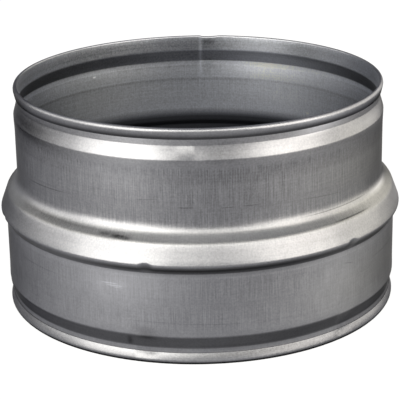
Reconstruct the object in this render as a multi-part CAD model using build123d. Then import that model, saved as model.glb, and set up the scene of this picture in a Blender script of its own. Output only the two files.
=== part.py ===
from build123d import *
from math import cos, radians, sin
import os

# All sizes are in millimetres and degrees; the axis of the fitting is Z and its large end stands on Z = 0

# Duct sizes: each end slides into a duct of this bore with play all round
large_bore = 160.0
bore_step = 10.0
slip_play = 0.5

# Galvanised sheet the whole fitting is pressed from
sheet = 0.5

# Straight ends and the collar between them
large_length = 36.7
collar_height = 15.8
small_length = 37.9

# Collar that stops the ducts: lower flank out to the crest, crest band, then the cone up to the small end
crest_rise = 2.3
crest_height = 3.5
knee_drop = 0.62
knee_height = 11.1
crease_radius = 0.8
crest_radius = 1.2
knee_radius = 5.0
shoulder_radius = 5.0

# Seal groove near each end, with a slope from its floor up to the straight wall
groove_depth = 1.23
groove_end = 6.3
slope_end = 11.5
groove_radius = 1.2
slope_radius = 2.0

# Hem: the end of the sheet folded outward and back over itself as a rounded lip, fuller at the large end
fold_radius = 0.12
large_lip_radius = 1.9
small_lip_radius = 1.65
lip_blend = 50.0
hem_slant = 14.0
hem_gap = 0.06

# Radii of the outer faces, and the whole height
large_radius = large_bore / 2 - slip_play
small_radius = large_radius - bore_step / 2
height = large_length + collar_height + small_length

# The sheet is drawn along its middle line
half_sheet = sheet / 2
fold_middle = fold_radius + half_sheet
fold_depth = fold_middle + half_sheet

# Where the hem's cut edge lies beside the groove floor, from the wall's middle line
hem_foot = half_sheet + hem_gap + half_sheet * cos(radians(hem_slant))


def middle(outer_radius, level):
    """Point on the sheet's middle line behind a point of the outer face."""
    return (outer_radius - half_sheet, level)


def hem(start, heading, turn, lip_radius):
    """Folds the end of the sheet outward: tight fold, rounded lip, then the straight run back."""
    lip_middle = lip_radius - half_sheet
    lip_centre = fold_middle + (fold_middle - lip_middle) * cos(radians(lip_blend))
    run = (lip_centre + lip_middle * cos(radians(hem_slant)) - hem_foot) / sin(radians(hem_slant))
    fold = JernArc(start, heading, fold_middle, turn * (180 - lip_blend))
    lip = JernArc(fold @ 1, fold % 1, lip_middle, turn * (lip_blend + hem_slant))
    Line(lip @ 1, lip @ 1 + lip % 1 * run)


# Corners of the wall from the large end up, each with the radius it is bent to
crest_level = large_length + crest_height
knee_level = large_length + knee_height
shoulder_level = large_length + collar_height
bends = [
    (middle(large_radius - groove_depth, groove_end), groove_radius),
    (middle(large_radius, slope_end), slope_radius),
    (middle(large_radius, large_length), crease_radius),
    (middle(large_radius + crest_rise, crest_level), crest_radius),
    (middle(large_radius - knee_drop, knee_level), knee_radius),
    (middle(small_radius, shoulder_level), shoulder_radius),
    (middle(small_radius, height - slope_end), slope_radius),
    (middle(small_radius - groove_depth, height - groove_end), groove_radius),
]
large_fold = middle(large_radius - groove_depth, fold_depth)
small_fold = middle(small_radius - groove_depth, height - fold_depth)

with BuildPart() as reducer:
    with BuildSketch(Plane.XZ) as section:
        with BuildLine() as sheet_line:
            corners = [corner for corner, radius in bends]
            FilletPolyline(large_fold, *corners, small_fold, radius=[radius for corner, radius in bends])
            hem(large_fold, (0, -1), 1, large_lip_radius)
            hem(small_fold, (0, 1), -1, small_lip_radius)
        trace(line_width=sheet)
    revolve(axis=Axis.Z)

reducer.part.label = "reducer_body"
os.makedirs("parts", exist_ok=True)
export_step(reducer.part, "parts/reducer_body.step")
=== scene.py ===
"""Duct reducer pressed from one galvanised sheet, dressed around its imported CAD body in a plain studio."""

import logging
import math
from dataclasses import dataclass, field
from enum import Enum

import bpy
import numpy as np
from mathutils import Matrix, Vector


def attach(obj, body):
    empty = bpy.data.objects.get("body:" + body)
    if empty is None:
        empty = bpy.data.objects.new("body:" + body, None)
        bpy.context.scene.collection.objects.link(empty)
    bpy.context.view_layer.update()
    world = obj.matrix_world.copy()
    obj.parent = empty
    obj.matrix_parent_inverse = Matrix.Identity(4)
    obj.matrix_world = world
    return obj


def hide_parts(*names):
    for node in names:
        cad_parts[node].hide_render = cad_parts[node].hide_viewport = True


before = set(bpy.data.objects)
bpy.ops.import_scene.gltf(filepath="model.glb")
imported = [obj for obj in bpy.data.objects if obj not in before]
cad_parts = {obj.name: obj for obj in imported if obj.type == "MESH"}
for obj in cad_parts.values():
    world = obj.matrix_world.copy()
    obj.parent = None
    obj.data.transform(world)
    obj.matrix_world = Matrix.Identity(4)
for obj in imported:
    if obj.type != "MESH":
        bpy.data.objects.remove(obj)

LOG = logging.getLogger("duct_reducer")
MM = 0.001
BODY = "root"
CAD_NODE = "reducer_body"

# Middle of Blender's noise, which runs from 0 to 1
NOISE_MIDDLE = 0.5

# Sockets of a Mix node for colours: the share of the second colour, the two colours, and the result
MIX_SHARE, MIX_FIRST, MIX_SECOND = 0, 6, 7
MIX_RESULT = 2


class Layer(Enum):
    """Values that the mesh carries for its finish and for the shade and light painted on it, under the names
    that the material reads them by.
    """

    # Painted shade: a dark colour mixed in where shade falls
    PAINTED_SHADE = "painted_shade"
    DRAWN = "drawn"
    INSIDE = "inside"
    # Wear of the tool and handling, and also painted highlights and shade
    WEAR_AND_PAINTED_LIGHT = "wear_and_painted_light"
    # Painted warm light: a faint warm tint where the reflected light is warmer
    PAINTED_WARM_LIGHT = "painted_warm_light"


class Region(Enum):
    """Parts of the sheet's surface that take marks of their own."""

    OUTSIDE = "outer face of the wall"
    INSIDE = "inner face of the wall"
    LEAF = "face of a hem that shows"
    FOLD = "face of a hem that lies against the wall"


class SheetFace(Enum):
    """The two faces of the sheet, as the side of its middle line that they lie on."""

    OUTER = 1.0
    INNER = -1.0


class End(Enum):
    """The two ends of the fitting, as the direction in which the sheet runs out of each."""

    LARGE = -1.0
    SMALL = 1.0


def linear(hex_colour: str) -> tuple[float, float, float, float]:
    """Turns an sRGB hex colour to a linear one.

    Args:
        hex_colour: Six hex digits after a hash.

    Returns:
        Red, green, blue and alpha as Blender takes them.
    """
    parts = [int(hex_colour[i : i + 2], 16) / 255 for i in (1, 3, 5)]
    # The numbers are those of the sRGB standard
    red, green, blue = [p / 12.92 if p <= 0.04045 else ((p + 0.055) / 1.055) ** 2.4 for p in parts]
    return red, green, blue, 1.0


def smooth(values: np.ndarray, start: float, end: float) -> np.ndarray:
    """Soft step from 0 at start to 1 at end; start may be the larger of the two."""
    t = np.clip((values - start) / (end - start), 0.0, 1.0)
    return t * t * (3.0 - 2.0 * t)


def hump(values: np.ndarray, start: float, top: float, end: float) -> np.ndarray:
    """Soft rise from start to top and fall to end."""
    return smooth(values, start, top) * smooth(values, end, top)


def direction(heading: float) -> np.ndarray:
    """Unit vector of a heading in degrees."""
    return np.array([math.cos(math.radians(heading)), math.sin(math.radians(heading))])


def add_node(
    tree: bpy.types.NodeTree,
    kind: str,
    settings: dict[str | int, object] | None = None,
    links: dict[str | int, bpy.types.NodeSocket] | None = None,
) -> bpy.types.Node:
    """Adds one node with its settings and links.

    Args:
        tree: The node tree that takes the node.
        kind: Blender's name for the kind of node.
        settings: Properties of the node and constant values of its inputs.
        links: Output sockets to link, under the input that each goes to.

    Returns:
        The new node.
    """
    node = tree.nodes.new(kind)
    for name, value in (settings or {}).items():
        if isinstance(name, str) and hasattr(node, name):
            setattr(node, name, value)
        else:
            node.inputs[name].default_value = value
    for name, socket in (links or {}).items():
        tree.links.new(socket, node.inputs[name])
    return node


@dataclass(frozen=True)
class Scratch:
    """One thin mark on the wall, darker or brighter than the zinc round it.

    Places are in degrees from the front and millimetres from the floor. Slope is the rise over one degree.
    """

    azimuth: float
    level: float
    reach: float
    width: float
    amount: float
    slope: float = 0.0


@dataclass(frozen=True)
class Ring:
    """A ring round the sheet that is changed by the tool or wear, or painted with shade or light, with soft
    edges.

    Its amount rises from start to full and falls from fading to end, which are levels in millimetres.
    """

    start: float
    full: float
    fading: float
    end: float
    amount: float

    def at(self, azimuth: np.ndarray, level: np.ndarray) -> np.ndarray:
        """Returns the ring's amount at each level, the same at every azimuth."""
        return self.amount * smooth(level, self.start, self.full) * smooth(level, self.end, self.fading)


@dataclass(frozen=True)
class Patch:
    """A soft spot on the sheet, with its middle and its reach in degrees and millimetres."""

    azimuth: float
    level: float
    reach: float
    rise: float
    amount: float

    def at(self, azimuth: np.ndarray, level: np.ndarray) -> np.ndarray:
        """Returns the patch's amount at each place."""
        turn = (azimuth - self.azimuth + 180.0) % 360.0 - 180.0
        return self.amount * np.exp(-((turn / self.reach) ** 2) - ((level - self.level) / self.rise) ** 2)


@dataclass(frozen=True)
class Bulge:
    """A move of the sheet that swells from a start to its top and dies out at its end, all in millimetres."""

    amount: float
    start: float
    top: float
    end: float

    def at(self, level: np.ndarray) -> np.ndarray:
        """Returns the move at each level."""
        return self.amount * hump(level, self.start, self.top, self.end)


# Marks of one kind, under the part of the sheet's surface that they are on
Marks = tuple[tuple[Region, tuple[Ring | Patch, ...]], ...]


@dataclass(frozen=True)
class GalvanisedSteel:
    """Hot-dip galvanised steel sheet, drawn over a segmented tool and handled since.

    Zinc gives a soft grey metal with a fine grain and faint clouds. The inner face takes a much brighter
    colour, which is painted light that stands for the light bouncing round inside. The tool leaves fine
    streaks along the draw and faint lines round the fitting, and handling leaves a few scratches. Brighter
    and darker patches add wear and also paint highlights and shade on the collar, the grooves, the slopes,
    the lips and the inside.
    A dark colour is painted shade in the folds, under the hems and the collar's foot and low inside, and a
    faint warm tint is painted light on the right walls and the collar, for the warmer light that they
    reflect.

    The real grain and drawing lines are too fine to show in the render, so grain, streaks and turns are drawn
    as coarse as they need to be to show.
    """

    name: str = "galvanised_steel_drawn"
    zinc: str = "#9C9DA5"
    cloud: str = "#8D8E96"
    # Much brighter colour of the inner face: painted light that stands for the light bouncing round inside
    inside_painted_light: str = "#DFE3F0"
    # Dark colour painted as shade into the folds, under the hems and the collar's foot, and low inside
    shade_paint: str = "#262629"
    # Faint warm tint, painted for the warmer light that the right walls and the collar reflect
    painted_warm_light: str = "#FFFEF6"
    edge_tint: str = "#747474"
    roughness: float = 0.37
    roughness_range: float = 0.05
    unroll_radius_mm: float = 77.0
    streak_width_mm: float = 0.32
    streak_length_mm: float = 12.0
    turn_width_mm: float = 0.7
    turn_length_mm: float = 38.0
    turn_contrast: float = 0.22
    cloud_mm: float = 7.0
    grain_mm: float = 0.75
    grain_contrast: float = 0.57
    noise_detail: float = 2.0
    noise_roughness: float = 0.6
    relief_mm: float = 0.02
    relief_strength: float = 0.5
    scratch_core: float = 1 / 3
    scratches: tuple[Scratch, ...] = (
        Scratch(azimuth=-4.1, level=60.75, reach=2.7, width=0.36, amount=-0.42),
        Scratch(azimuth=8.0, level=60.5, reach=2.8, width=0.3, amount=-0.32),
        Scratch(azimuth=14.5, level=60.6, reach=3.2, width=0.3, amount=-0.3),
        Scratch(azimuth=-15.5, level=63.4, reach=4.0, width=0.3, amount=-0.3, slope=0.1),
        Scratch(azimuth=-52.0, level=60.3, reach=13.0, width=0.35, amount=-0.4, slope=0.055),
        Scratch(azimuth=38.0, level=59.0, reach=9.0, width=0.3, amount=-0.25, slope=-0.09),
        Scratch(azimuth=45.0, level=52.7, reach=18.0, width=0.3, amount=-0.5),
        Scratch(azimuth=48.0, level=48.7, reach=10.0, width=0.4, amount=-0.45),
        Scratch(azimuth=-21.6, level=49.05, reach=3.0, width=1.1, amount=-0.52),
        Scratch(azimuth=-24.4, level=49.3, reach=1.7, width=0.9, amount=-0.46),
        Scratch(azimuth=-27.4, level=49.45, reach=2.2, width=0.8, amount=-0.44),
        Scratch(azimuth=-22.4, level=49.4, reach=1.4, width=0.4, amount=-0.3),
        Scratch(azimuth=-52.0, level=29.2, reach=12.0, width=0.3, amount=-0.25),
        Scratch(azimuth=-14.0, level=17.1, reach=9.5, width=0.3, amount=-0.2),
        Scratch(azimuth=2.5, level=16.5, reach=12.0, width=0.3, amount=-0.18, slope=-0.03),
        Scratch(azimuth=-25.5, level=30.9, reach=3.2, width=0.4, amount=0.6),
        Scratch(azimuth=-24.0, level=30.1, reach=3.0, width=0.35, amount=0.7),
        Scratch(azimuth=-23.2, level=29.5, reach=2.0, width=0.3, amount=0.4),
        Scratch(azimuth=66.0, level=28.1, reach=10.0, width=0.35, amount=-0.3),
        Scratch(azimuth=45.0, level=31.0, reach=2.4, width=0.4, amount=-0.35, slope=-0.3),
        Scratch(azimuth=-142.0, level=75.8, reach=0.7, width=0.6, amount=1.0),
        Scratch(azimuth=139.1, level=58.2, reach=0.6, width=0.6, amount=1.2),
    )

    def scratched(
        self, tree: bpy.types.NodeTree, azimuth: bpy.types.NodeSocket, level: bpy.types.NodeSocket
    ) -> bpy.types.NodeSocket:
        """Adds up the scratches.

        Args:
            tree: The material's node tree.
            azimuth: Angle round the axis in radians.
            level: Height in metres.

        Returns:
            How much brighter the scratches make the zinc, as a share of it.
        """
        total = None
        for mark in self.scratches:
            reach = math.radians(mark.reach)
            along = add_node(
                tree, "ShaderNodeMath", {"operation": "SUBTRACT", 1: math.radians(mark.azimuth)}, {0: azimuth}
            )
            rise = {"operation": "MULTIPLY_ADD", 1: math.degrees(mark.slope) * MM, 2: mark.level * MM}
            line = add_node(tree, "ShaderNodeMath", rise, {0: along.outputs[0]})
            off = add_node(tree, "ShaderNodeMath", {"operation": "SUBTRACT"}, {0: level, 1: line.outputs[0]})
            across = add_node(tree, "ShaderNodeMath", {"operation": "ABSOLUTE"}, {0: off.outputs[0]})
            fade = {"interpolation_type": "SMOOTHSTEP", "To Min": 1.0, "To Max": 0.0}
            edges = {**fade, "From Max": mark.width * MM}
            thin = add_node(tree, "ShaderNodeMapRange", edges, {"Value": across.outputs[0]})
            away = add_node(tree, "ShaderNodeMath", {"operation": "ABSOLUTE"}, {0: along.outputs[0]})
            tips = {**fade, "From Min": reach * self.scratch_core, "From Max": reach}
            ends = add_node(tree, "ShaderNodeMapRange", tips, {"Value": away.outputs[0]})
            both = add_node(
                tree, "ShaderNodeMath", {"operation": "MULTIPLY"}, {0: thin.outputs[0], 1: ends.outputs[0]}
            )
            links = {0: both.outputs[0], 2: total} if total else {0: both.outputs[0]}
            share = {"operation": "MULTIPLY_ADD", 1: mark.amount, 2: 0.0}
            total = add_node(tree, "ShaderNodeMath", share, links).outputs[0]
        return total

    def material(self) -> bpy.types.Material:
        """Builds the material.

        Returns:
            The new material.
        """
        material = bpy.data.materials.new(self.name)
        material.use_nodes = True
        tree = material.node_tree
        tree.nodes.clear()
        place = add_node(tree, "ShaderNodeTexCoord").outputs["Object"]
        parts = add_node(tree, "ShaderNodeSeparateXYZ", {}, {0: place}).outputs
        ahead = add_node(tree, "ShaderNodeMath", {"operation": "MULTIPLY", 1: -1.0}, {0: parts["Y"]})
        azimuth = add_node(
            tree, "ShaderNodeMath", {"operation": "ARCTAN2"}, {0: parts["X"], 1: ahead.outputs[0]}
        )
        marks = {
            layer: add_node(tree, "ShaderNodeAttribute", {"attribute_name": layer.value}).outputs["Fac"]
            for layer in Layer
        }
        spans = {
            "turns": (self.turn_length_mm, self.turn_length_mm, self.turn_width_mm),
            "clouds": (self.cloud_mm, self.cloud_mm, self.cloud_mm),
            "grain": (self.grain_mm, self.grain_mm, self.grain_mm),
        }
        grown = {"Scale": 1.0, "Detail": self.noise_detail, "Roughness": self.noise_roughness}
        noise = {}
        for name, span in spans.items():
            scale = {"operation": "MULTIPLY", 1: tuple(1.0 / (size * MM) for size in span)}
            spread = add_node(tree, "ShaderNodeVectorMath", scale, {0: place})
            pattern = add_node(tree, "ShaderNodeTexNoise", grown, {"Vector": spread.outputs[0]})
            noise[name] = pattern.outputs["Fac"]
        tone = add_node(
            tree,
            "ShaderNodeMix",
            {"data_type": "RGBA", MIX_FIRST: linear(self.zinc), MIX_SECOND: linear(self.cloud)},
            {MIX_SHARE: noise["clouds"]},
        )
        # Painted light: the inner face takes the much brighter colour
        sided = add_node(
            tree,
            "ShaderNodeMix",
            {"data_type": "RGBA", MIX_SECOND: linear(self.inside_painted_light)},
            {MIX_SHARE: marks[Layer.INSIDE], MIX_FIRST: tone.outputs[MIX_RESULT]},
        )
        radius = {"operation": "MULTIPLY", 1: self.unroll_radius_mm / self.streak_width_mm}
        around = add_node(tree, "ShaderNodeMath", radius, {0: azimuth.outputs[0]})
        length = {"operation": "MULTIPLY", 1: 1.0 / (self.streak_length_mm * MM)}
        along = add_node(tree, "ShaderNodeMath", length, {0: parts["Z"]})
        unrolled = add_node(tree, "ShaderNodeCombineXYZ", {}, {0: around.outputs[0], 1: along.outputs[0]})
        lines = {"noise_dimensions": "2D", **grown}
        drawn = add_node(tree, "ShaderNodeTexNoise", lines, {"Vector": unrolled.outputs[0]})
        middle = {"operation": "SUBTRACT", 1: NOISE_MIDDLE}
        streak = add_node(tree, "ShaderNodeMath", middle, {0: drawn.outputs["Fac"]})
        level = 1.0 - NOISE_MIDDLE * (self.turn_contrast + self.grain_contrast)
        share = add_node(
            tree,
            "ShaderNodeMath",
            {"operation": "MULTIPLY_ADD", 2: level},
            {0: streak.outputs[0], 1: marks[Layer.DRAWN]},
        ).outputs[0]
        for name, contrast in (("turns", self.turn_contrast), ("grain", self.grain_contrast)):
            share = add_node(
                tree, "ShaderNodeMath", {"operation": "MULTIPLY_ADD", 1: contrast}, {0: noise[name], 2: share}
            ).outputs[0]
        # Wear with painted highlights and shade, and the scratches, make the zinc brighter or darker
        for more in (marks[Layer.WEAR_AND_PAINTED_LIGHT], self.scratched(tree, azimuth.outputs[0], parts["Z"])):
            share = add_node(tree, "ShaderNodeMath", {"operation": "ADD"}, {0: share, 1: more}).outputs[0]
        layered = add_node(
            tree,
            "ShaderNodeVectorMath",
            {"operation": "SCALE"},
            {0: sided.outputs[MIX_RESULT], "Scale": share},
        )
        # Painted warm light: the faint warm tint is multiplied in
        warmed = add_node(
            tree,
            "ShaderNodeMix",
            {"data_type": "RGBA", "blend_type": "MULTIPLY", MIX_SECOND: linear(self.painted_warm_light)},
            {MIX_SHARE: marks[Layer.PAINTED_WARM_LIGHT], MIX_FIRST: layered.outputs[0]},
        )
        # Painted shade: the dark colour is mixed in where the shade values say
        shaded = add_node(
            tree,
            "ShaderNodeMix",
            {"data_type": "RGBA", MIX_SECOND: linear(self.shade_paint)},
            {MIX_SHARE: marks[Layer.PAINTED_SHADE], MIX_FIRST: warmed.outputs[MIX_RESULT]},
        )
        rough = add_node(
            tree,
            "ShaderNodeMapRange",
            {
                "To Min": self.roughness - self.roughness_range,
                "To Max": self.roughness + self.roughness_range,
            },
            {"Value": noise["grain"]},
        )
        relief = add_node(
            tree, "ShaderNodeMath", {"operation": "MULTIPLY"}, {0: streak.outputs[0], 1: marks[Layer.DRAWN]}
        )
        bump = add_node(
            tree,
            "ShaderNodeBump",
            {"Strength": self.relief_strength, "Distance": self.relief_mm * MM},
            {"Height": relief.outputs[0]},
        )
        shader = add_node(
            tree,
            "ShaderNodeBsdfPrincipled",
            {"Metallic": 1.0, "Specular Tint": linear(self.edge_tint)},
            {
                "Base Color": shaded.outputs[MIX_RESULT],
                "Roughness": rough.outputs[0],
                "Normal": bump.outputs[0],
            },
        )
        add_node(tree, "ShaderNodeOutputMaterial", {}, {"Surface": shader.outputs[0]})
        return material


@dataclass(frozen=True)
class StudioPaper:
    """Matt background paper: a bright even floor that shows only a soft shadow.

    Its glow makes it plain white to the camera. Metal mirrors it dimmer, as the photographed metal does. The
    fibres are too fine to show in the render, so they are drawn as coarse as they need to be to show.
    """

    name: str = "studio_paper_matt"
    tone: str = "#707070"
    fibre: str = "#6D6D6D"
    fibre_mm: float = 3.0
    fibre_detail: float = 3.0
    roughness: float = 0.9
    glow_colour: str = "#FFFFFF"
    glow: float = 0.91
    mirrored_glow: float = 0.30

    def material(self) -> bpy.types.Material:
        """Builds the material.

        Returns:
            The new material.
        """
        material = bpy.data.materials.new(self.name)
        material.use_nodes = True
        tree = material.node_tree
        tree.nodes.clear()
        place = add_node(tree, "ShaderNodeTexCoord").outputs["Object"]
        fine = {"Scale": 1.0 / (self.fibre_mm * MM), "Detail": self.fibre_detail}
        fibres = add_node(tree, "ShaderNodeTexNoise", fine, {"Vector": place})
        tone = add_node(
            tree,
            "ShaderNodeMix",
            {"data_type": "RGBA", MIX_FIRST: linear(self.tone), MIX_SECOND: linear(self.fibre)},
            {MIX_SHARE: fibres.outputs["Fac"]},
        )
        rays = add_node(tree, "ShaderNodeLightPath").outputs
        mirrored = add_node(
            tree,
            "ShaderNodeMath",
            {"operation": "ADD"},
            {0: rays["Is Glossy Ray"], 1: rays["Is Transmission Ray"]},
        )
        seen = add_node(
            tree, "ShaderNodeMath", {"operation": "MULTIPLY", 1: self.glow}, {0: rays["Is Camera Ray"]}
        )
        glow = add_node(
            tree,
            "ShaderNodeMath",
            {"operation": "MULTIPLY_ADD", 1: self.mirrored_glow},
            {0: mirrored.outputs[0], 2: seen.outputs[0]},
        )
        shader = add_node(
            tree,
            "ShaderNodeBsdfPrincipled",
            {
                "Roughness": self.roughness,
                "Specular IOR Level": 0.0,
                "Emission Color": linear(self.glow_colour),
            },
            {"Base Color": tone.outputs[MIX_RESULT], "Emission Strength": glow.outputs[0]},
        )
        add_node(tree, "ShaderNodeOutputMaterial", {}, {"Surface": shader.outputs[0]})
        return material


class SheetPen:
    """Walks along the middle line of the sheet and keeps each point and the heading there."""

    least_bend_pieces: int = 3

    def __init__(
        self,
        start: tuple[float, float],
        heading: float,
        run_step: float,
        bend_step: float,
        levels: tuple[float, ...] = (),
    ) -> None:
        """Puts the pen down.

        Args:
            start: Distance from the axis and height, in millimetres.
            heading: Direction in degrees, where 90 is up.
            run_step: Longest straight piece between two points, in millimetres.
            bend_step: Largest turn between two points, in degrees.
            levels: Heights at which a run keeps a point as well, in millimetres.
        """
        self.points: list[np.ndarray] = [np.array(start, float)]
        self.headings: list[float] = [heading]
        self.run_step = run_step
        self.bend_step = bend_step
        self.levels = levels

    def run(self, length: float) -> None:
        """Draws a straight run.

        Args:
            length: Its length in millimetres.
        """
        count = max(1, math.ceil(length / self.run_step))
        start, along = self.points[-1], direction(self.headings[-1])
        ways = {length * i / count for i in range(1, count + 1)}
        ways.update((level - start[1]) / along[1] for level in self.levels)
        for way in sorted(way for way in ways if 0.0 < way <= length):
            self.points.append(start + along * way)
            self.headings.append(self.headings[-1])

    def bend(self, radius: float, turn: float) -> None:
        """Draws an arc.

        Args:
            radius: Radius of the middle line.
            turn: Angle in degrees, positive to the left.
        """
        count = max(self.least_bend_pieces, math.ceil(abs(turn) / self.bend_step))
        first = self.headings[-1]
        side = math.copysign(90.0, turn)
        centre = self.points[-1] + radius * direction(first + side)
        for i in range(1, count + 1):
            heading = first + turn * i / count
            self.points.append(centre - radius * direction(heading + side))
            self.headings.append(heading)

    def line(self) -> tuple[np.ndarray, np.ndarray]:
        """Returns the points and the headings as arrays."""
        return np.array(self.points), np.array(self.headings)


@dataclass(frozen=True)
class Hem:
    """Fold at one end: the lip's radius, the slant and gap of the leaf, and how its cut edge is pressed thin.

    The feather gives the share of the sheet's thickness at the last points before the cut edge.
    """

    lip_radius: float
    slant: float
    gap: float
    feather: tuple[float, ...] = (1.0,)


@dataclass
class SheetSection:
    """Section of the pressed sheet in millimetres, with the axis at 0 and the large end on the floor.

    Each corner of the wall, such as the crease, is its level and the radius that it is bent to.
    """

    large_radius: float = 79.5
    small_radius: float = 74.5
    height: float = 90.4
    sheet: float = 0.5
    crease: tuple[float, float] = (36.7, 0.8)
    crest: tuple[float, float] = (40.2, 1.2)
    knee: tuple[float, float] = (47.95, 4.0)
    shoulder: tuple[float, float] = (52.0, 6.8)
    crest_rise: float = 2.3
    knee_drop: float = 0.62
    groove_depth: float = 1.23
    groove: tuple[float, float] = (6.3, 1.2)
    slope: tuple[float, float] = (11.5, 2.0)
    fold_radius: float = 0.12
    large_hem: Hem = Hem(lip_radius=1.9, slant=17.0, gap=-0.1, feather=(0.16, 0.5, 0.85))
    small_hem: Hem = Hem(lip_radius=1.65, slant=14.0, gap=0.06)
    lip_blend: float = 50.0
    run_step: float = 2.1
    hem_step: float = 0.8
    bend_step: float = 11.0
    ring_levels: tuple[float, ...] = (
        7.0, 10.8, 34.4, 34.8, 38.6, 69.6, 70.2, 70.7, 71.2, 76.5, 76.9, 78.4, 83.4,
    )

    def corners(self) -> list[tuple[float, float, float]]:
        """Lists the wall's corners from the large end up.

        Returns:
            Outer radius, level and bend radius of each.
        """
        large, small, top = self.large_radius, self.small_radius, self.height
        return [
            (large - self.groove_depth, *self.groove),
            (large, *self.slope),
            (large, *self.crease),
            (large + self.crest_rise, *self.crest),
            (large - self.knee_drop, *self.knee),
            (small, *self.shoulder),
            (small, top - self.slope[0], self.slope[1]),
            (small - self.groove_depth, top - self.groove[0], self.groove[1]),
        ]

    def fold_point(self, end: End) -> tuple[float, float]:
        """Finds where the wall goes over into the hem.

        Args:
            end: The end that the hem is at.

        Returns:
            Distance of the middle line from the axis there, and its height.
        """
        radius = self.large_radius if end is End.LARGE else self.small_radius
        depth = self.fold_radius + self.sheet
        level = depth if end is End.LARGE else self.height - depth
        return radius - self.groove_depth - self.sheet / 2, level

    def hem(self, end: End) -> tuple[np.ndarray, np.ndarray]:
        """Draws the hem outward from the wall: tight fold, rounded lip and the straight run back.

        Args:
            end: The end that the hem is at.

        Returns:
            Points of the middle line and the headings there.
        """
        half = self.sheet / 2
        hem = self.large_hem if end is End.LARGE else self.small_hem
        fold = self.fold_radius + half
        lip = hem.lip_radius - half
        slant = math.radians(hem.slant)
        top = fold + (fold - lip) * math.cos(math.radians(self.lip_blend)) + lip * math.cos(slant)
        foot = half + hem.gap + half * math.cos(slant)
        pen = SheetPen(self.fold_point(end), 90.0 * end.value, self.hem_step, self.bend_step)
        turn = -end.value
        pen.bend(fold, turn * (180.0 - self.lip_blend))
        pen.bend(lip, turn * (self.lip_blend + hem.slant))
        pen.run((top - foot) / math.sin(slant))
        return pen.line()

    def wall(self) -> tuple[np.ndarray, np.ndarray]:
        """Draws the wall between the two hems with its bent corners.

        Returns:
            Points of the middle line and the headings there.
        """
        half = self.sheet / 2
        bends = [(np.array([radius - half, level]), bend) for radius, level, bend in self.corners()]
        stops = [corner for corner, bend in bends[1:]] + [np.array(self.fold_point(End.SMALL))]
        pen = SheetPen(self.fold_point(End.LARGE), 90.0, self.run_step, self.bend_step, self.ring_levels)
        for (corner, bend), stop in zip(bends, stops):
            ahead = stop - corner
            turn = math.degrees(math.atan2(ahead[1], ahead[0])) - pen.headings[-1]
            tangent = bend * math.tan(math.radians(abs(turn)) / 2)
            pen.run(float(np.linalg.norm(corner - pen.points[-1])) - tangent)
            pen.bend(bend, turn)
        pen.run(float(np.linalg.norm(stops[-1] - pen.points[-1])))
        return pen.line()

    def middle_line(self) -> tuple[np.ndarray, np.ndarray, np.ndarray]:
        """Draws the whole sheet from the cut edge at the large end to that at the small end.

        Returns:
            Points of the middle line, unit vectors there that point out of the outer face, and 1 for each
            point on the wall or 0 for one on a hem.
        """
        low_points, low_headings = self.hem(End.LARGE)
        wall_points, wall_headings = self.wall()
        top_points, top_headings = self.hem(End.SMALL)
        points = np.concatenate([low_points[:0:-1], wall_points, top_points[1:]])
        headings = np.concatenate([low_headings[:0:-1] + 180.0, wall_headings, top_headings[1:]])
        counts = [len(low_points) - 1, len(wall_points), len(top_points) - 1]
        wall = np.repeat([0.0, 1.0, 0.0], counts)
        turn = np.radians(headings)
        return points, np.stack([np.sin(turn), -np.cos(turn)], axis=1), wall


@dataclass(frozen=True)
class ToolGaps:
    """Gaps between the segments of the forming tool, where the sheet wasn't pressed home.

    All are in degrees: the sharp edge of one gap, the width from there, and the reach of the marks round it.
    Side is 1 where the gap lies past its edge and -1 where it lies before.
    """

    edge: float
    width: float
    side: float
    marked: tuple[float, float]
    count: int = 6
    quick_edge: tuple[float, float] = (-0.4, 0.8)
    soft_reach: float = 1.5
    soft_share: float = 0.5
    crease_width: float = 0.45

    def past_edge(self, azimuth: np.ndarray) -> np.ndarray:
        """Returns how far each azimuth lies past its nearest sharp edge, in degrees into the gap."""
        pitch = 360.0 / self.count
        return self.side * ((azimuth - self.edge + pitch / 2) % pitch - pitch / 2)

    def near(self, azimuth: np.ndarray) -> bool:
        """Tells whether any of the azimuths lies where a gap leaves marks."""
        past = self.past_edge(azimuth)
        return bool(((past > self.marked[0]) & (past < self.marked[1])).any())

    def weight(self, azimuth: np.ndarray) -> np.ndarray:
        """Tells the gaps from the rest, with one quick edge and one soft edge.

        Args:
            azimuth: Azimuths in degrees.

        Returns:
            1 inside a gap and 0 outside.
        """
        past = self.past_edge(azimuth)
        far_edge = smooth(past, self.width + self.soft_reach, self.width * self.soft_share)
        return smooth(past, *self.quick_edge) * far_edge

    def crease(self, azimuth: np.ndarray) -> np.ndarray:
        """Returns 1 on the line that a segment's edge leaves and 0 beside it."""
        return np.exp(-((self.past_edge(azimuth) / self.crease_width) ** 2))


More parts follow.
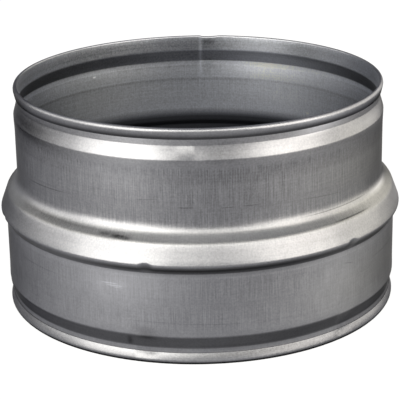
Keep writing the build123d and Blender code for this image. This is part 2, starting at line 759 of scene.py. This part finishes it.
@dataclass(frozen=True)
class SheetWearAndPaintedLight:
    """Where the tool and handling have changed the sheet, and painted shade and light: rings round it and
    patches on it.

    A ring is start, full, fading, end and amount. A patch is azimuth, level, reach, rise and amount.
    """

    # Painted shade: darker in the folds, on the groove slopes, under the hems and the collar and low inside,
    # where shade falls; patches with a negative amount take some of it back
    shade_paint: Marks = (
        (
            Region.OUTSIDE,
            (
                Ring(36.2, 37.2, 38.6, 40.4, 0.88),
                Ring(6.05, 6.6, 10.8, 11.8, 0.66),
                Patch(-50.0, 38.5, 22.0, 2.4, -0.75),
                Patch(-20.2, 8.6, 0.8, 1.9, 0.24),
                Patch(-15.2, 12.3, 3.2, 2.0, 0.42),
                Patch(28.0, 9.0, 16.0, 2.6, 0.12),
                Patch(62.0, 9.0, 16.0, 2.8, -0.16),
                Patch(-66.0, 9.0, 18.0, 2.8, -0.22),
                Patch(14.0, 6.0, 16.0, 0.9, 0.22),
                Patch(-58.0, 81.5, 13.0, 3.0, 0.25),
                Patch(-66.0, 38.9, 12.0, 2.2, -0.2),
                Patch(54.0, 38.5, 22.0, 2.0, -0.6),
            ),
        ),
        (
            Region.INSIDE,
            (
                Ring(78.6, 79.1, 83.4, 84.2, 0.63),
                Ring(-2.0, -1.0, 52.8, 57.5, 0.95),
                Patch(-150.0, 81.0, 16.0, 3.0, 0.13),
                Patch(140.0, 81.0, 16.0, 3.0, -0.12),
            ),
        ),
        (
            Region.LEAF,
            (
                Ring(-2.0, -1.0, 0.8, 1.6, 1.0),
                Ring(80.0, 81.0, 87.3, 88.4, 0.79),
                Patch(-60.0, 87.0, 11.0, 1.2, -0.2),
                Patch(60.0, 87.0, 10.0, 1.2, -0.2),
            ),
        ),
        (
            Region.FOLD,
            (
                Ring(-2.0, -1.0, 2.6, 3.4, 1.0),
                Ring(87.0, 87.8, 91.0, 92.0, 1.0),
            ),
        ),
    )
    drawn: Marks = (
        (
            Region.OUTSIDE,
            (
                Ring(12.5, 14.5, 35.0, 37.0, 0.7),
                Ring(51.5, 55.0, 75.0, 76.0, 0.9),
                Ring(69.4, 70.2, 74.9, 75.4, 0.35),
                Ring(46.5, 47.5, 50.5, 51.5, 0.5),
            ),
        ),
        (Region.INSIDE, (Ring(50.0, 60.0, 76.0, 78.0, 0.32),)),
    )
    # Painted warm light: a faint warm tint on the right walls, the cone, under the collar and inside at the
    # left
    painted_warm_light: Marks = (
        (
            Region.OUTSIDE,
            (
                Patch(56.0, 64.0, 28.0, 16.0, 0.95),
                Patch(56.0, 22.0, 28.0, 18.0, 1.0),
                Ring(47.5, 48.5, 50.5, 51.5, 0.7),
                Ring(36.6, 37.2, 39.0, 40.2, 0.5),
            ),
        ),
        (Region.INSIDE, (Patch(-135.0, 66.0, 28.0, 24.0, 0.8),)),
    )
    # Wear of the tool and handling, and also painted light: most patches are painted highlights on the
    # shoulder and its ends, the grooves, the hem lips and the top rim, or painted shade on the slopes, the
    # cone and inside; the dark band under the upper slope is wear
    wear_and_painted_light: Marks = (
        (
            Region.OUTSIDE,
            (
                Ring(-2.0, -1.0, 36.2, 36.8, 0.2),
                Ring(34.3, 34.8, 36.2, 36.6, 0.12),
                Ring(69.2, 70.2, 74.9, 75.4, -0.12),
                Ring(78.6, 79.2, 83.4, 84.2, 0.16),
                Patch(9.0, 64.0, 22.0, 13.0, -0.15),
                Patch(-24.0, 74.0, 14.0, 6.0, 0.32),
                Patch(-22.0, 64.0, 18.0, 14.0, 0.12),
                Patch(12.0, 24.0, 20.0, 14.0, -0.15),
                Patch(-24.0, 31.0, 14.0, 9.0, 0.46),
                Patch(-26.0, 17.0, 14.0, 8.0, 0.14),
                Patch(40.0, 25.0, 11.0, 16.0, 0.36),
                Patch(2.0, 49.8, 32.0, 1.1, 0.5),
                Patch(-47.0, 49.8, 15.0, 1.1, -0.52),
                Patch(47.0, 49.3, 11.0, 0.9, -0.42),
                Patch(-62.0, 81.5, 20.0, 4.0, -0.69),
                Patch(8.0, 81.5, 8.0, 4.0, -0.3),
                Patch(44.0, 81.5, 16.0, 4.0, -0.25),
                Patch(40.0, 62.0, 16.0, 16.0, 0.07),
                Patch(-25.0, 30.5, 4.0, 1.8, 0.18),
                Patch(-80.0, 50.2, 14.0, 2.0, 0.85),
                Patch(-57.0, 45.0, 12.0, 4.0, -0.2),
                Patch(72.0, 51.8, 9.0, 1.0, 1.1),
                Patch(84.0, 44.5, 12.0, 4.5, 0.8),
                Patch(36.0, 44.5, 14.0, 4.0, -0.16),
                Patch(-13.0, 44.5, 6.0, 4.0, -0.1),
                Patch(6.0, 52.6, 12.0, 1.4, -0.14),
                Patch(36.0, 52.6, 7.0, 1.4, -0.2),
                Patch(-6.0, 81.0, 3.8, 3.5, -0.34),
                Patch(5.0, 81.0, 4.0, 3.5, -0.2),
                Patch(-20.0, 85.4, 10.0, 1.3, 0.7),
                Patch(40.0, 85.4, 9.0, 1.3, 1.3),
                Patch(-62.0, 85.4, 10.0, 1.3, 0.15),
                Patch(34.0, 85.2, 5.0, 1.3, 0.5),
                Patch(-52.0, 77.0, 18.0, 1.6, -0.22),
                Patch(58.0, 77.0, 14.0, 1.6, -0.16),
                Patch(72.0, 81.5, 11.0, 3.5, 0.35),
                Patch(50.0, 5.6, 12.0, 1.2, -0.15),
                Patch(-26.0, 49.5, 9.0, 1.2, -0.26),
                Patch(18.0, 34.0, 16.0, 4.0, -0.14),
                Patch(-20.0, 33.0, 9.0, 5.0, 0.1),
                Patch(-58.0, 22.0, 12.0, 14.0, -0.1),
                Patch(-80.0, 24.0, 16.0, 16.0, -0.16),
                Patch(-48.0, 38.3, 20.0, 1.8, 0.28),
                Patch(86.0, 52.8, 9.0, 2.2, -0.5),
                Patch(85.0, 79.5, 10.0, 4.5, -0.4),
                Patch(-62.0, 78.0, 12.0, 3.5, -0.12),
                Patch(-24.0, 49.3, 4.5, 1.1, -0.16),
            ),
        ),
        (
            Region.INSIDE,
            (
                Ring(76.5, 76.9, 78.4, 78.8, 0.16),
                Ring(69.6, 70.2, 70.7, 71.2, -0.12),
                Ring(40.0, 50.0, 70.2, 71.2, -0.14),
                Patch(-163.0, 81.0, 24.0, 12.0, -0.42),
                Patch(-135.0, 84.0, 20.0, 12.0, -0.38),
                Patch(-144.0, 77.5, 10.0, 1.6, 0.15),
                Patch(177.0, 82.0, 13.0, 9.0, -0.3),
                Patch(157.0, 77.0, 9.0, 8.0, 0.18),
                Patch(148.0, 62.0, 16.0, 12.0, 0.27),
                Patch(125.0, 58.0, 14.0, 14.0, 0.15),
                Patch(141.0, 86.0, 8.0, 5.0, -0.3),
                Patch(178.9, 82.0, 0.5, 8.0, 0.5),
                Patch(176.2, 77.6, 2.2, 1.2, -0.3),
                Patch(176.2, 88.0, 2.4, 1.6, -0.3),
                Patch(180.0, 60.0, 36.0, 6.0, -0.1),
                Patch(-108.0, 72.0, 16.0, 20.0, -0.32),
                Patch(108.0, 72.0, 16.0, 20.0, -0.3),
                Ring(84.0, 86.0, 92.0, 93.0, -0.15),
            ),
        ),
        (
            Region.LEAF,
            (
                Patch(34.0, 3.0, 24.0, 3.0, -0.3),
                Patch(-34.0, 2.0, 14.0, 2.0, -0.05),
                Patch(13.0, 4.0, 17.0, 1.6, -0.4),
                Patch(6.0, 1.8, 20.0, 0.8, 0.32),
                Patch(-18.0, 2.2, 4.0, 1.2, -0.15),
                Patch(-14.2, 3.9, 2.4, 0.9, -0.4),
                Patch(-58.0, 4.2, 12.0, 1.5, -0.35),
                Patch(39.0, 88.8, 10.0, 0.6, 0.6),
                Patch(78.0, 89.6, 12.0, 1.0, 0.6),
                Patch(-65.0, 89.7, 8.0, 0.9, -0.3),
                Patch(180.0, 90.2, 60.0, 0.5, 0.6),
                Patch(-74.0, 87.8, 9.0, 1.2, -0.5),
                Patch(80.0, 87.8, 10.0, 1.2, -0.4),
            ),
        ),
    )


@dataclass
class ReducerBody:
    """The whole fitting: one sheet with both hems, seal grooves and stop collar."""

    section: SheetSection = field(default_factory=SheetSection)
    finish: GalvanisedSteel = field(default_factory=GalvanisedSteel)
    wear_and_light: SheetWearAndPaintedLight = field(default_factory=SheetWearAndPaintedLight)
    low_gaps: ToolGaps = ToolGaps(edge=-19.0, width=6.5, side=1.0, marked=(-2.0, 9.0))
    top_gaps: ToolGaps = ToolGaps(edge=-1.2, width=6.0, side=-1.0, marked=(-2.0, 8.0))
    coarse_step: float = 2.5
    fine_step: float = 0.5
    sharp_angle: float = 40.0
    # Notches in the collar's foot: place past a gap's edge, edges in degrees and levels in millimetres
    notch_place: float = 4.3
    notch_edges: tuple[float, float] = (2.4, 0.32)
    notch_levels: tuple[float, float, float] = (36.9, 40.0, 44.0)
    notch_rise: float = 0.8
    notch_dip: float = 0.25
    # Marks of the gaps, at levels from the nearer end
    groove_fill: Bulge = Bulge(0.32, 5.4, 9.0, 13.0)
    slope_pull: Bulge = Bulge(-0.1, 9.6, 12.2, 16.0)
    hem_dent: Bulge = Bulge(-0.2, 1.4, 3.6, 5.0)
    crease_depth: float = 0.04
    low_crease_fade: tuple[float, float] = (14.0, 10.0)
    top_crease_fade: tuple[float, float] = (14.0, 11.0)
    # The upper tool pressed hardest at the front and the back: cosines between which its marks come up
    press_fade: tuple[float, float] = (0.6, 0.9)
    # Wall beside the grooves, at levels from the nearer end
    small_swell: Bulge = Bulge(0.2, 8.0, 12.0, 18.0)
    large_swell: Bulge = Bulge(0.1, 8.0, 12.0, 17.0)
    # Rim of the small end, lifted at the front and dipped at the marks behind
    rim_fade: tuple[float, float] = (3.5, 0.8)
    front_lift: float = 0.4
    lift_place: float = -15.0
    rim_dip: float = 0.4
    dip_fade: tuple[float, float] = (120.0, 160.0)
    # Shoulder, pressed down a little at one side of the front
    shoulder_sag: Bulge = Bulge(-0.28, 47.5, 52.0, 57.0)
    sag_place: float = 22.0
    sag_reach: float = 17.0

    def azimuths(self) -> np.ndarray:
        """Spaces the mesh columns, closer together at the tool's marks.

        Returns:
            Azimuths of the columns in degrees.
        """
        chosen = []
        azimuth = -180.0
        while azimuth < 180.0 - self.fine_step / 2:
            chosen.append(azimuth)
            here = np.array([azimuth, azimuth + self.coarse_step / 2])
            near = self.low_gaps.near(here) or self.top_gaps.near(here)
            azimuth += self.fine_step if near else self.coarse_step
        return np.array(chosen)

    def shift(self, level: np.ndarray, azimuth: np.ndarray) -> tuple[np.ndarray, np.ndarray]:
        """Works out how far the tool's marks move the sheet.

        Args:
            level: Heights in millimetres.
            azimuth: Azimuths in degrees, of a shape that goes with level.

        Returns:
            Moves away from the axis and up, in millimetres.
        """
        below = self.section.height - level
        pressed = smooth(np.abs(np.cos(np.radians(azimuth))), *self.press_fade)
        low, high = self.low_gaps.weight(azimuth), pressed * self.top_gaps.weight(azimuth)
        past = np.abs(self.low_gaps.past_edge(azimuth) - self.notch_place)
        notch = smooth(past, *self.notch_edges) * hump(level, *self.notch_levels)
        low_crease = self.low_gaps.crease(azimuth) * smooth(level, *self.low_crease_fade)
        top_crease = pressed * self.top_gaps.crease(azimuth) * smooth(below, *self.top_crease_fade)
        out = -self.notch_dip * notch
        out = out + low * (self.groove_fill.at(level) + self.slope_pull.at(level) + self.hem_dent.at(level))
        out = out + high * self.groove_fill.at(below)
        out = out - self.crease_depth * (low_crease + top_crease)
        out = out + self.small_swell.at(below) + self.large_swell.at(level)
        lift = self.front_lift * (0.5 + 0.5 * np.cos(np.radians(azimuth - self.lift_place)))
        dip = self.rim_dip * high * smooth(np.abs(azimuth), *self.dip_fade)
        sag = np.exp(-(((azimuth - self.sag_place) / self.sag_reach) ** 2))
        up = self.notch_rise * notch + (lift - dip) * smooth(below, *self.rim_fade)
        up = up + sag * self.shoulder_sag.at(level)
        return out, up

    def rows(self) -> tuple[np.ndarray, np.ndarray, np.ndarray]:
        """Closes the section round both faces of the sheet.

        Returns:
            Its points, the face of the sheet under each, and 1 on the wall or 0 on a hem.
        """
        points, outward, wall = self.section.middle_line()
        half = np.full((len(points), 1), self.section.sheet / 2)
        low, high = self.section.large_hem.feather, self.section.small_hem.feather
        half[: len(low), 0] *= low
        half[-len(high) :, 0] *= high[::-1]
        outer = points + half * outward * SheetFace.OUTER.value
        inner = points + half * outward * SheetFace.INNER.value
        faces = np.repeat([SheetFace.OUTER.value, SheetFace.INNER.value], len(points))
        return np.concatenate([outer, inner[::-1]]), faces, np.concatenate([wall, wall[::-1]])

    def finish_values(self, azimuth: np.ndarray) -> dict[Layer, np.ndarray]:
        """Works out the values for the finish.

        Args:
            azimuth: Azimuths of the mesh columns in degrees, as a column vector.

        Returns:
            Under each layer, one value for each column and each point of the section.
        """
        points, faces, wall = self.rows()
        level = points[None, :, 1]
        outer = faces[None, :] == SheetFace.OUTER.value
        on_wall = wall[None, :] == 1.0
        regions = {
            Region.OUTSIDE: outer & on_wall,
            Region.INSIDE: ~outer & on_wall,
            Region.LEAF: ~outer & ~on_wall,
            Region.FOLD: outer & ~on_wall,
        }
        layered = {
            Layer.PAINTED_SHADE: self.wear_and_light.shade_paint,
            Layer.DRAWN: self.wear_and_light.drawn,
            Layer.WEAR_AND_PAINTED_LIGHT: self.wear_and_light.wear_and_painted_light,
            Layer.PAINTED_WARM_LIGHT: self.wear_and_light.painted_warm_light,
        }
        values = {Layer.INSIDE: regions[Region.INSIDE] + 0.0 * azimuth}
        for layer, marks in layered.items():
            total = 0.0 * level * azimuth
            for region, places in marks:
                for mark in places:
                    total = total + regions[region] * mark.at(azimuth, level)
            values[layer] = np.clip(total, 0.0, 1.0) if layer in (Layer.PAINTED_SHADE, Layer.PAINTED_WARM_LIGHT) else total
        return values

    def mesh(self) -> bpy.types.Mesh:
        """Builds the mesh of the sheet, turned round the axis, with the marks of the tool.

        Returns:
            The new mesh.
        """
        points = self.rows()[0]
        azimuths = self.azimuths()
        level, azimuth = points[None, :, 1], azimuths[:, None]
        out, up = self.shift(level, azimuth)
        radius, height = points[None, :, 0] + out, level + up
        turn = np.radians(azimuth)
        places = np.stack([radius * np.sin(turn), -radius * np.cos(turn), height + 0.0 * turn], axis=2) * MM
        columns, rows = len(azimuths), len(points)
        column, row = np.meshgrid(np.arange(columns), np.arange(rows), indexing="ij")
        after, above = (column + 1) % columns, (row + 1) % rows
        quads = np.stack(
            [column * rows + row, after * rows + row, after * rows + above, column * rows + above], axis=2
        )
        mesh = bpy.data.meshes.new(CAD_NODE)
        mesh.from_pydata(places.reshape(-1, 3).tolist(), [], quads.reshape(-1, 4).tolist())
        mesh.shade_smooth()
        mesh.set_sharp_from_angle(angle=math.radians(self.sharp_angle))
        for layer, values in self.finish_values(azimuth).items():
            attribute = mesh.attributes.new(layer.value, "FLOAT", "POINT")
            attribute.data.foreach_set("value", values.ravel().astype(np.float32))
        mesh.update()
        return mesh

    def build(self) -> bpy.types.Object:
        """Builds the fitting, dresses it and puts it on its CAD body.

        Returns:
            The new piece.
        """
        piece = bpy.data.objects.new("duct_reducer", self.mesh())
        bpy.context.scene.collection.objects.link(piece)
        piece.data.materials.append(self.finish.material())
        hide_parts(CAD_NODE)
        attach(piece, BODY)
        return piece


@dataclass(frozen=True)
class Softbox:
    """One large soft lamp that faces the fitting, with its place and size as angles seen from there."""

    name: str
    azimuth: float
    elevation: float
    spread: float
    rise: float
    radiance: float
    distance: float = 1.1
    aim: tuple[float, float, float] = (0.0, 0.0, 0.045)
    colour: str = "#FFFFFF"

    def build(self) -> bpy.types.Object:
        """Builds the lamp.

        Returns:
            The new lamp.
        """
        data = bpy.data.lights.new(self.name, "AREA")
        data.shape = "RECTANGLE"
        data.size = 2.0 * self.distance * math.tan(math.radians(self.spread) / 2)
        data.size_y = 2.0 * self.distance * math.tan(math.radians(self.rise) / 2)
        data.energy = self.radiance * math.pi * data.size * data.size_y
        data.color = linear(self.colour)[:3]
        lamp = bpy.data.objects.new(self.name, data)
        bpy.context.scene.collection.objects.link(lamp)
        turn, lift = math.radians(self.azimuth), math.radians(self.elevation)
        out = Vector((math.sin(turn) * math.cos(lift), -math.cos(turn) * math.cos(lift), math.sin(lift)))
        lamp.location = Vector(self.aim) + out * self.distance
        lamp.rotation_euler = (-out).to_track_quat("-Z", "Y").to_euler()
        lamp.visible_camera = False
        return lamp


@dataclass
class Studio:
    """Plain studio: a paper floor, soft lamps at both sides, a strip over the camera and an even room."""

    paper: StudioPaper = field(default_factory=StudioPaper)
    floor_radius: float = 4.0
    floor_sides: int = 96
    room: str = "#F8F9FB"
    room_level: float = 0.386
    lamps: tuple[Softbox, ...] = (
        Softbox(
            "softbox_left", azimuth=-48.0, elevation=21.0, spread=49.0, rise=43.0,
            radiance=3.73, colour="#FFFBEB",
        ),
        Softbox(
            "softbox_right", azimuth=56.0, elevation=19.0, spread=44.0, rise=40.0,
            radiance=3.59, colour="#FFF8E6",
        ),
        Softbox(
            "panel_right", azimuth=117.0, elevation=13.0, spread=66.0, rise=38.0,
            radiance=1.955, distance=0.8, colour="#FFF8E2",
        ),
        Softbox(
            "panel_left", azimuth=-98.0, elevation=18.0, spread=36.0, rise=25.0,
            radiance=2.045, colour="#FFFBEB",
        ),
        Softbox(
            "strip_over_camera", azimuth=1.0, elevation=31.5, spread=64.0, rise=22.0,
            radiance=3.5, colour="#FFFBE9",
        ),
    )

    def floor(self) -> bpy.types.Object:
        """Builds the floor.

        Returns:
            The new floor.
        """
        mesh = bpy.data.meshes.new("studio_floor")
        turns = np.linspace(0.0, 2.0 * np.pi, self.floor_sides, endpoint=False)
        rim = np.stack([np.cos(turns), np.sin(turns), 0.0 * turns], axis=1) * self.floor_radius
        mesh.from_pydata(rim.tolist(), [], [list(range(self.floor_sides))])
        mesh.materials.append(self.paper.material())
        floor = bpy.data.objects.new("studio_floor", mesh)
        bpy.context.scene.collection.objects.link(floor)
        return floor

    def light_room(self) -> None:
        """Lights the room evenly from all round."""
        world = bpy.data.worlds.new("studio_room")
        world.use_nodes = True
        world.node_tree.nodes.clear()
        sky = add_node(
            world.node_tree,
            "ShaderNodeBackground",
            {"Color": linear(self.room), "Strength": self.room_level},
        )
        add_node(world.node_tree, "ShaderNodeOutputWorld", {}, {"Surface": sky.outputs[0]})
        bpy.context.scene.world = world

    def build(self) -> None:
        """Builds the floor and the lamps and lights the room."""
        self.floor()
        self.light_room()
        for lamp in self.lamps:
            lamp.build()


@dataclass
class PhotoCamera:
    """Camera at the photograph's place, with its slight roll."""

    place: tuple[float, float, float] = (0.0, -0.6121, 0.2510)
    tilt: float = 19.195
    roll: float = -1.0645
    lens: float = 140.75
    sensor: float = 36.0
    clip: tuple[float, float] = (0.01, 20.0)

    def build(self) -> bpy.types.Object:
        """Builds the camera and makes it the scene's own.

        Returns:
            The new camera.
        """
        data = bpy.data.cameras.new("photo_camera")
        data.sensor_fit = "HORIZONTAL"
        data.sensor_width = self.sensor
        data.lens = self.lens
        data.clip_start, data.clip_end = self.clip
        camera = bpy.data.objects.new("photo_camera", data)
        bpy.context.scene.collection.objects.link(camera)
        tilt, roll = math.radians(self.tilt), math.radians(self.roll)
        ahead = Vector((0.0, math.cos(tilt), -math.sin(tilt)))
        right = Vector((1.0, 0.0, 0.0))
        above = right.cross(ahead)
        level_right = right * math.cos(roll) + above * math.sin(roll)
        level_above = above * math.cos(roll) - right * math.sin(roll)
        turn = Matrix((level_right, level_above, -ahead)).transposed()
        camera.matrix_world = Matrix.Translation(self.place) @ turn.to_4x4()
        bpy.context.scene.camera = camera
        return camera


def main() -> None:
    """Builds the fitting and its studio."""
    logging.basicConfig(level=logging.INFO)
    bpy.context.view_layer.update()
    bpy.context.scene.view_settings.view_transform = "Standard"
    PhotoCamera().build()
    Studio().build()
    piece = ReducerBody().build()
    LOG.info("%s: %d points, %d faces", piece.name, len(piece.data.vertices), len(piece.data.polygons))


if __name__ == "__main__":
    main()
